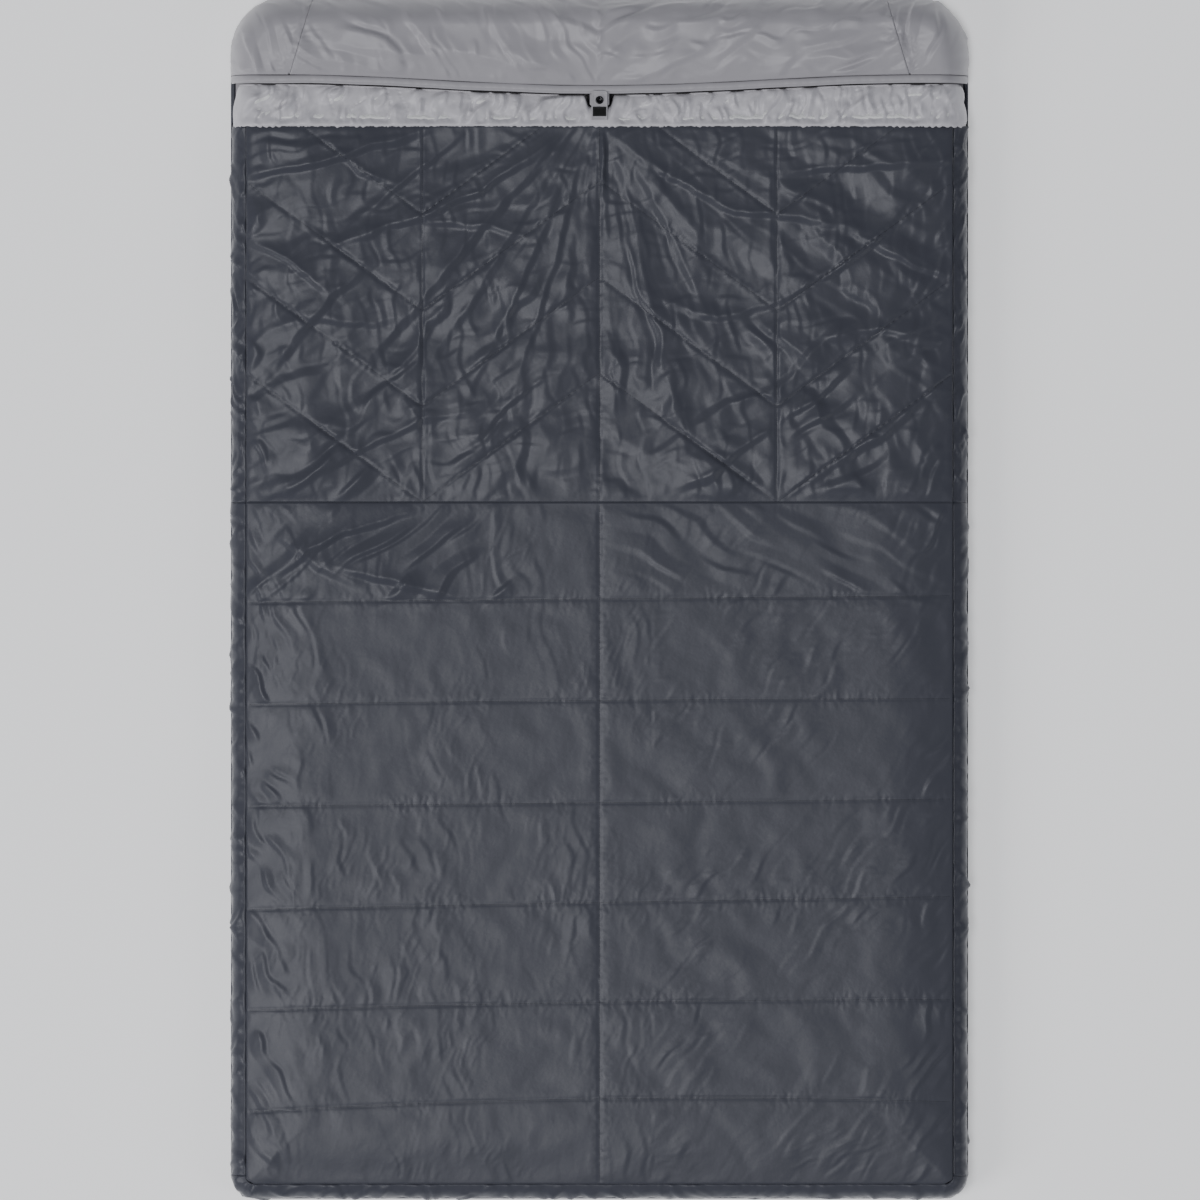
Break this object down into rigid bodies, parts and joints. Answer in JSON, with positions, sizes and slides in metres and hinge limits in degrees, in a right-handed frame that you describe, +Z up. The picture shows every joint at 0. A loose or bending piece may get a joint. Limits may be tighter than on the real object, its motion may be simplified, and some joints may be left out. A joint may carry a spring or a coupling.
{
  "type": "camp quilt",
  "caption": "Wide rectangular camp quilt with a base sheet, fitted head pocket, puffy collar, snap tab, side zips and a quilted cover whose upper part turns down",
  "frame": {"origin": "on the ground, under the middle of the plan", "axes": "+Z up, +Y towards the head pocket, +X to the right for someone looking down with the head end at the top"},
  "size_m": [1.3716, 2.2352, 0.116],
  "materials": {
    "dark_taffeta": "soft sheen, dark slate polyester taffeta",
    "light_taffeta": "soft sheen, light grey polyester taffeta",
    "wadding": "white fibre wadding",
    "elastic": "knitted elastic",
    "snap_metal": "black lacquered brass, satin",
    "hook_tape": "black nylon hook tape",
    "zip_tape": "woven polyester tape with a nylon coil",
    "zip_metal": "black painted zinc, satin",
    "pull_plastic": "matt black moulded"
  },
  "bodies": {
    "base": {"base_shell": "dark_taffeta", "base_wadding": "wadding", "base_lining": "light_taffeta", "hood_centre_panel": "light_taffeta", "hood_corner_left": "light_taffeta", "hood_corner_right": "light_taffeta", "hood_hem": "light_taffeta", "hood_elastic": "elastic", "hood_tongue": "light_taffeta", "snap_stud": "snap_metal", "snap_post": "snap_metal", "lower_shell_left": "dark_taffeta", "lower_shell_right": "dark_taffeta", "lower_wadding_left": "wadding", "lower_wadding_right": "wadding", "lower_lining": "light_taffeta", "lower_wall_left": "dark_taffeta", "lower_wall_right": "dark_taffeta", "foot_wall": "dark_taffeta", "zip_base_tape_left": "zip_tape", "zip_base_tape_right": "zip_tape"},
    "cover_upper": {"upper_shell_left": "dark_taffeta", "upper_shell_right": "dark_taffeta", "upper_wadding_left": "wadding", "upper_wadding_right": "wadding", "upper_lining": "light_taffeta", "upper_wall_left": "dark_taffeta", "upper_wall_right": "dark_taffeta", "collar_tube": "light_taffeta", "collar_fill": "wadding", "collar_elastic": "elastic", "zip_cover_tape_left": "zip_tape", "zip_cover_tape_right": "zip_tape"},
    "tab": {"tab_strap": "light_taffeta", "snap_cap": "snap_metal", "snap_socket": "snap_metal", "hook_patch": "hook_tape"},
    "slider_left": {"zip_slider_left": "zip_metal"},
    "slider_right": {"zip_slider_right": "zip_metal"},
    "pull_left": {"zip_pull_left": "pull_plastic"},
    "pull_right": {"zip_pull_right": "pull_plastic"}
  },
  "joints": [
    {"name": "turn_down", "type": "hinge", "parent": "base", "child": "cover_upper", "pos_m": [0, 0.177, 0.101], "axis": [1, 0, 0], "range_deg": [0, 170]},
    {"name": "tab_flip", "type": "hinge", "parent": "cover_upper", "child": "tab", "pos_m": [0, 0.886, 0.10438], "axis": [1, 0, 0], "range_deg": [0, 150]},
    {"name": "zip_left", "type": "slide", "parent": "base", "child": "slider_left", "axis": [0, -1, 0], "range_m": [0, 0.66]},
    {"name": "zip_right", "type": "slide", "parent": "base", "child": "slider_right", "axis": [0, -1, 0], "range_m": [0, 0.66]},
    {"name": "pull_left_swing", "type": "hinge", "parent": "slider_left", "child": "pull_left", "pos_m": [-0.68312, 0.881, 0.0217], "axis": [0, 0, -1], "range_deg": [0, 170]},
    {"name": "pull_right_swing", "type": "hinge", "parent": "slider_right", "child": "pull_right", "pos_m": [0.68312, 0.881, 0.0217], "axis": [0, 0, 1], "range_deg": [0, 170]}
  ]
}
